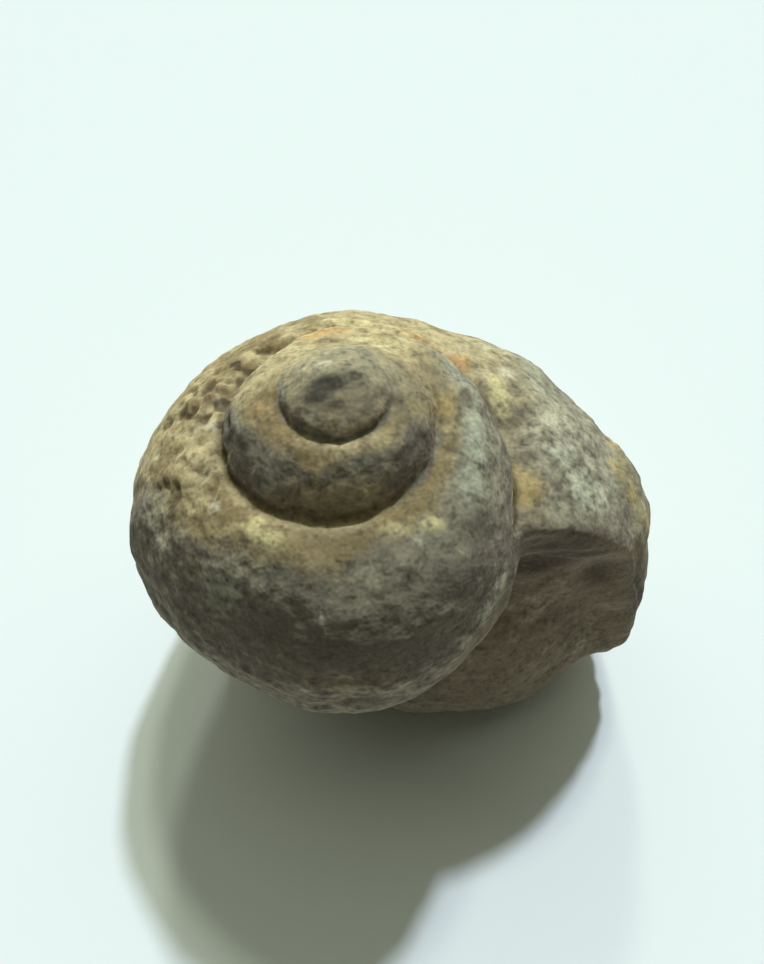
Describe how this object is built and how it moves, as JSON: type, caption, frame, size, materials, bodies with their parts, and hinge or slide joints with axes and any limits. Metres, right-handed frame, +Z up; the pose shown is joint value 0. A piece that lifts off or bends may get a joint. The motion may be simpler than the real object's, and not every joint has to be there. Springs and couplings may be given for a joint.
{
  "type": "fossil snail shell",
  "caption": "Stone cast of a coiled snail shell with a short stepped spire and a rock-filled mouth, standing on its worn flat base.",
  "frame": {"origin": "where the coil's axis meets the worn base that the stone stands on", "axes": "+Z up along the coil's axis, +X towards the broken mouth, which faces -Y"},
  "size_m": [0.0678, 0.0545, 0.0674],
  "materials": {
    "weathered_limestone": "dull weathered grey-brown limestone with tan and ochre patches and fine pits"
  },
  "bodies": {
    "root": {"fossil_shell": "weathered_limestone"}
  },
  "joints": []
}
